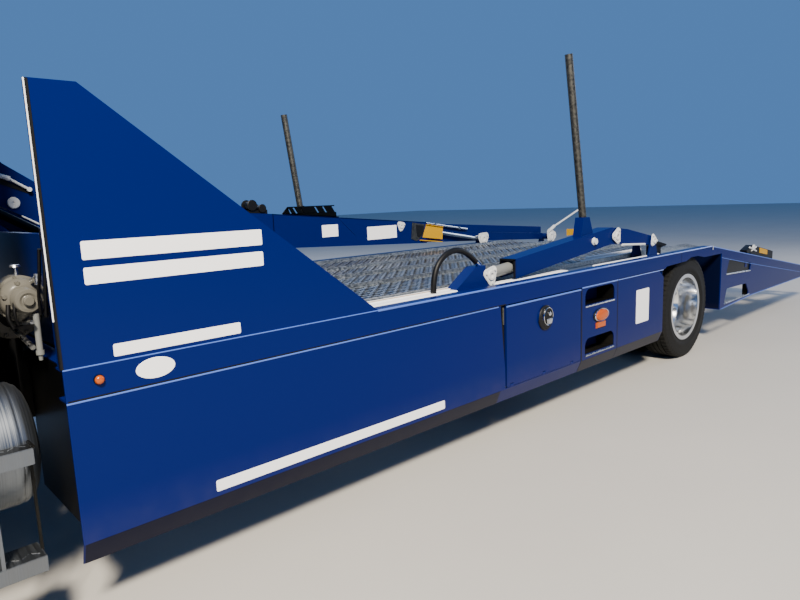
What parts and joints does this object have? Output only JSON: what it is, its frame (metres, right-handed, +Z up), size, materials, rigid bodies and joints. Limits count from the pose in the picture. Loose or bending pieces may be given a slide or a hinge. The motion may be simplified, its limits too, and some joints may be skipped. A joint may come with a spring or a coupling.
{
  "type": "car transporter truck",
  "caption": "Blue straight car transporter truck with a low grip-plank deck, sloping tail, over-cab rack and hydraulic lift arms.",
  "frame": {"origin": "on the ground, in the middle of the truck's length and width", "axes": "+X forward, +Y to the truck's left, +Z up"},
  "size_m": [12.2, 2.7, 2.762],
  "materials": {
    "blue_paint": "gloss enamel, dusty",
    "black_chassis_paint": "satin",
    "galvanised_steel": "dull zinc",
    "cab_glass": "clear, slight tint",
    "black_plastic": "grained",
    "chrome_plate": "polished",
    "polished_aluminium": "polished",
    "grey_steel": "grey painted and cast",
    "tyre_rubber": "matt",
    "hose_rubber": "matt",
    "lamp_lens": "clear lens"
  },
  "bodies": {
    "chassis": {"frame": "black_chassis_paint", "deck_frame": "blue_paint", "side_panels": "blue_paint", "toolboxes": "blue_paint", "headboard": "blue_paint", "tail_frame": "blue_paint", "runway_left": "galvanised_steel", "deck_centre": "galvanised_steel", "runways_ribbed": "galvanised_steel", "edge_plates": "galvanised_steel", "deck_brackets": "blue_paint", "hydraulic_hose": "hose_rubber", "cab_shell": "blue_paint", "cab_glass": "cab_glass", "cab_interior": "black_plastic", "mirrors": "black_plastic", "front_bumper": "chrome_plate", "engine": "black_chassis_paint", "fuel_tanks": "polished_aluminium", "cab_steps": "polished_aluminium", "exhaust": "grey_steel", "front_axle": "black_chassis_paint", "rear_axle": "black_chassis_paint", "lamps": "lamp_lens"},
    "hood": {"hood": "blue_paint", "grille": "chrome_plate", "headlamps": "lamp_lens"},
    "door_left": {"door_left": "blue_paint", "door_glass_left": "cab_glass"},
    "door_right": {"door_right": "blue_paint", "door_glass_right": "cab_glass"},
    "toolbox_door_left": {"toolbox_door_left": "blue_paint"},
    "toolbox_door_right": {"toolbox_door_right": "blue_paint"},
    "knuckle_left": {"knuckle_left": "black_chassis_paint"},
    "knuckle_right": {"knuckle_right": "black_chassis_paint"},
    "tie_rod": {"tie_rod": "black_chassis_paint"},
    "wheel_front_left": {"tyres_front_left": "tyre_rubber", "rims_front_left": "polished_aluminium"},
    "wheel_front_right": {"tyres_front_right": "tyre_rubber", "rims_front_right": "polished_aluminium"},
    "wheels_rear_left": {"tyres_rear_left": "tyre_rubber", "rims_rear_left": "polished_aluminium"},
    "wheels_rear_right": {"tyres_rear_right": "tyre_rubber", "rims_rear_right": "polished_aluminium"},
    "lift_arm": {"lift_arm": "blue_paint", "post_left": "grey_steel"},
    "arm_barrel": {"arm_barrel": "grey_steel"},
    "arm_rod": {"arm_rod": "chrome_plate"},
    "lift_beam": {"lift_beam": "blue_paint", "post_right": "grey_steel"},
    "beam_barrel": {"beam_barrel": "grey_steel"},
    "beam_rod": {"beam_rod": "chrome_plate"},
    "rack": {"rack": "blue_paint"},
    "rack_barrels": {"rack_barrels": "grey_steel"},
    "rack_rods": {"rack_rods": "chrome_plate"}
  },
  "joints": [
    {"name": "steer_left", "type": "hinge", "parent": "chassis", "child": "knuckle_left", "pos_m": [5.05, 0.88, 0.465], "axis": [0, 0, 1], "range_deg": [-35, 35]},
    {"name": "steer_right", "type": "hinge", "parent": "chassis", "child": "knuckle_right", "pos_m": [5.05, -0.88, 0.465], "axis": [0, 0, 1], "range_deg": [-35, 35]},
    {"name": "tie_rod_pivot", "type": "hinge", "parent": "knuckle_left", "child": "tie_rod", "pos_m": [4.87, 0.88, 0.395], "axis": [0, 0, 1], "range_deg": [-35, 35]},
    {"name": "wheel_front_left_spin", "type": "hinge", "parent": "knuckle_left", "child": "wheel_front_left", "pos_m": [5.05, 1.03, 0.465], "axis": [0, 1, 0], "continuous": true},
    {"name": "wheel_front_right_spin", "type": "hinge", "parent": "knuckle_right", "child": "wheel_front_right", "pos_m": [5.05, -1.03, 0.465], "axis": [0, 1, 0], "continuous": true},
    {"name": "wheels_rear_left_spin", "type": "hinge", "parent": "chassis", "child": "wheels_rear_left", "pos_m": [-2.1, 0.97, 0.465], "axis": [0, 1, 0], "continuous": true},
    {"name": "wheels_rear_right_spin", "type": "hinge", "parent": "chassis", "child": "wheels_rear_right", "pos_m": [-2.1, -0.97, 0.465], "axis": [0, 1, 0], "continuous": true},
    {"name": "hood_tilt", "type": "hinge", "parent": "chassis", "child": "hood", "pos_m": [5.97, 0, 0.645], "axis": [0, 1, 0], "range_deg": [0, 60]},
    {"name": "door_left_hinge", "type": "hinge", "parent": "chassis", "child": "door_left", "pos_m": [4.504, 1.055, 1.6], "axis": [0, 0, -1], "range_deg": [0, 70]},
    {"name": "door_right_hinge", "type": "hinge", "parent": "chassis", "child": "door_right", "pos_m": [4.504, -1.055, 1.6], "axis": [0, 0, 1], "range_deg": [0, 70]},
    {"name": "toolbox_door_left_hinge", "type": "hinge", "parent": "chassis", "child": "toolbox_door_left", "pos_m": [0.1745, 1.288, 0.351], "axis": [-1, 0, 0], "range_deg": [0, 95]},
    {"name": "toolbox_door_right_hinge", "type": "hinge", "parent": "chassis", "child": "toolbox_door_right", "pos_m": [0.1745, -1.288, 0.351], "axis": [1, 0, 0], "range_deg": [0, 95]},
    {"name": "lift_arm_tilt", "type": "hinge", "parent": "chassis", "child": "lift_arm", "pos_m": [-1.526, 1.132, 1.109], "axis": [0, -1, 0], "range_deg": [0, 20]},
    {"name": "arm_cylinder_tilt", "type": "hinge", "parent": "chassis", "child": "arm_barrel", "pos_m": [0.596, 1.132, 1.04], "axis": [0, 1, 0], "range_deg": [-0.2, 7.4]},
    {"name": "arm_cylinder_stroke", "type": "slide", "parent": "arm_barrel", "child": "arm_rod", "axis": [-0.9955, 0, 0.0952], "range_m": [-0.002, 0.09]},
    {"name": "lift_beam_tilt", "type": "hinge", "parent": "chassis", "child": "lift_beam", "pos_m": [-3.434, -1.132, 0.985], "axis": [0, -1, 0], "range_deg": [-1.5, 8]},
    {"name": "beam_cylinder_tilt", "type": "hinge", "parent": "lift_beam", "child": "beam_barrel", "pos_m": [-0.77, -1.122, 1.262], "axis": [0, -1, 0], "range_deg": [-1.6, 7.9]},
    {"name": "beam_cylinder_stroke", "type": "slide", "parent": "beam_barrel", "child": "beam_rod", "axis": [-0.9862, 0, -0.1659], "range_m": [-0.01, 0.046]},
    {"name": "rack_tilt", "type": "hinge", "parent": "chassis", "child": "rack", "pos_m": [2.7, 0, 1.15], "axis": [0, -1, 0], "range_deg": [0, 15]},
    {"name": "rack_cylinder_tilt", "type": "hinge", "parent": "chassis", "child": "rack_barrels", "pos_m": [2.12, 0, 1.06], "axis": [0, -1, 0], "range_deg": [-0.1, 6.9]},
    {"name": "rack_cylinder_stroke", "type": "slide", "parent": "rack_barrels", "child": "rack_rods", "axis": [0.8511, 0, 0.525], "range_m": [-0.07, 0.001]}
  ],
  "couplings": [
    {"joint": "steer_right", "follows": "steer_left", "ratio": 1},
    {"joint": "tie_rod_pivot", "follows": "steer_left", "ratio": -1},
    {"joint": "arm_cylinder_tilt", "follows": "lift_arm_tilt", "ratio": 0.35606},
    {"joint": "arm_cylinder_stroke", "follows": "lift_arm_tilt", "m_per_rad": 0.24538},
    {"joint": "beam_cylinder_tilt", "follows": "lift_beam_tilt", "ratio": 0.96031},
    {"joint": "beam_cylinder_stroke", "follows": "lift_beam_tilt", "m_per_rad": 0.31491},
    {"joint": "rack_cylinder_tilt", "follows": "rack_tilt", "ratio": 0.44291},
    {"joint": "rack_cylinder_stroke", "follows": "rack_tilt", "m_per_rad": -0.24847}
  ]
}
